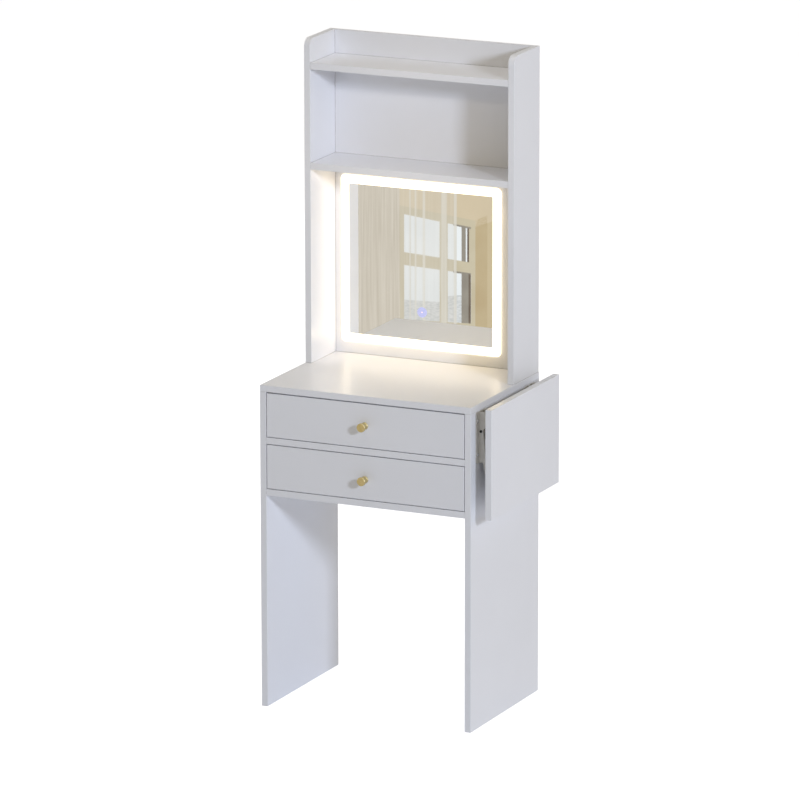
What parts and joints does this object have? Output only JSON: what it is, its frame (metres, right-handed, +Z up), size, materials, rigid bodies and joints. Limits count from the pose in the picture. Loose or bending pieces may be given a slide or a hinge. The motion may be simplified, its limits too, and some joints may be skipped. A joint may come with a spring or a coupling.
{
  "type": "vanity table with mirror",
  "caption": "Narrow white vanity table: lit square mirror in an open shelf hutch, stacked drawers with round brass knobs, and a side leaf that folds down on hinged brackets.",
  "frame": {"origin": "on the floor, in the middle of the whole object's footprint, knobs and folded leaf included", "axes": "+Z up, +Y from the front to the back, +X to the side that carries the leaf"},
  "size_m": [0.57, 0.397, 1.5],
  "materials": {
    "white_laminate": "satin white laminate on particle board",
    "white_sheet": "white faced hardboard",
    "brushed_brass": "satin brass",
    "mirror_glass": "polished",
    "light_band": "milky diffuser, lit warm white",
    "led_tape": "flexible circuit tape",
    "sensor_plastic": "matt",
    "white_plastic": "matt moulded",
    "black_plastic": "matt moulded",
    "zinc_steel": "zinc plated",
    "beech_dowel": "bare beech",
    "dark_rivet": "blackened steel",
    "bracket_paint": "light grey enamel",
    "runner_steel": "zinc plated"
  },
  "bodies": {
    "carcass": {"left_side_panel": "white_laminate", "right_side_panel": "white_laminate", "desk_top": "white_laminate", "middle_rail": "white_laminate", "bottom_board": "white_laminate", "drawer_bay_back": "white_laminate", "hutch_left_panel": "white_laminate", "hutch_right_panel": "white_laminate", "hutch_back_panel": "white_laminate", "lower_shelf": "white_laminate", "top_shelf": "white_laminate", "mirror_glass": "mirror_glass", "light_band": "light_band", "led_strip": "led_tape", "led_lead": "led_tape", "touch_sensor": "sensor_plastic", "rear_cover": "white_plastic", "power_inlet": "black_plastic", "cam_bolts": "zinc_steel", "cam_locks": "zinc_steel", "wood_dowels": "beech_dowel", "back_screws": "zinc_steel", "side_panel_screws": "zinc_steel", "bracket_rivets": "dark_rivet", "front_wall_bracket": "bracket_paint", "rear_wall_bracket": "bracket_paint", "lower_left_cabinet_runner": "runner_steel", "lower_right_cabinet_runner": "runner_steel", "upper_left_cabinet_runner": "runner_steel", "upper_right_cabinet_runner": "runner_steel"},
    "lower_drawer": {"lower_drawer_front": "white_laminate", "lower_drawer_left_side": "white_laminate", "lower_drawer_right_side": "white_laminate", "lower_drawer_back": "white_laminate", "lower_drawer_bottom": "white_sheet", "lower_drawer_knob": "brushed_brass", "lower_drawer_screws": "zinc_steel", "lower_drawer_cam_fittings": "zinc_steel", "lower_left_drawer_runner": "runner_steel", "lower_right_drawer_runner": "runner_steel"},
    "lower_cages": {"lower_ball_cages": "runner_steel"},
    "upper_drawer": {"upper_drawer_front": "white_laminate", "upper_drawer_left_side": "white_laminate", "upper_drawer_right_side": "white_laminate", "upper_drawer_back": "white_laminate", "upper_drawer_bottom": "white_sheet", "upper_drawer_knob": "brushed_brass", "upper_drawer_screws": "zinc_steel", "upper_drawer_cam_fittings": "zinc_steel", "upper_left_drawer_runner": "runner_steel", "upper_right_drawer_runner": "runner_steel"},
    "upper_cages": {"upper_ball_cages": "runner_steel"},
    "leaf": {"side_leaf": "white_laminate", "front_leaf_arm": "bracket_paint", "rear_leaf_arm": "bracket_paint", "leaf_arm_screws": "zinc_steel"},
    "front_brace_link": {"front_brace": "bracket_paint", "front_brace_pin": "dark_rivet"},
    "rear_brace_link": {"rear_brace": "bracket_paint", "rear_brace_pin": "dark_rivet"}
  },
  "joints": [
    {"name": "lower_drawer_slide", "type": "slide", "parent": "carcass", "child": "lower_drawer", "axis": [0, -1, 0], "range_m": [0, 0.22]},
    {"name": "lower_cage_slide", "type": "slide", "parent": "carcass", "child": "lower_cages", "axis": [0, -1, 0], "range_m": [0, 0.11]},
    {"name": "upper_drawer_slide", "type": "slide", "parent": "carcass", "child": "upper_drawer", "axis": [0, -1, 0], "range_m": [0, 0.22]},
    {"name": "upper_cage_slide", "type": "slide", "parent": "carcass", "child": "upper_cages", "axis": [0, -1, 0], "range_m": [0, 0.11]},
    {"name": "leaf_hinge", "type": "hinge", "parent": "carcass", "child": "leaf", "pos_m": [0.26025, 0.011, 0.72525], "axis": [0, -1, 0], "range_deg": [0, 90]},
    {"name": "front_brace_pivot", "type": "hinge", "parent": "carcass", "child": "front_brace_link", "pos_m": [0.241, -0.123, 0.6875], "axis": [0, -1, 0], "range_deg": [0, 99.2]},
    {"name": "rear_brace_pivot", "type": "hinge", "parent": "carcass", "child": "rear_brace_link", "pos_m": [0.241, 0.145, 0.6875], "axis": [0, -1, 0], "range_deg": [0, 99.2]}
  ],
  "couplings": [
    {"joint": "lower_cage_slide", "follows": "lower_drawer_slide", "ratio": 0.5},
    {"joint": "upper_cage_slide", "follows": "upper_drawer_slide", "ratio": 0.5},
    {"joint": "front_brace_pivot", "follows": "leaf_hinge", "ratio": 1.1012},
    {"joint": "rear_brace_pivot", "follows": "leaf_hinge", "ratio": 1.1012}
  ]
}
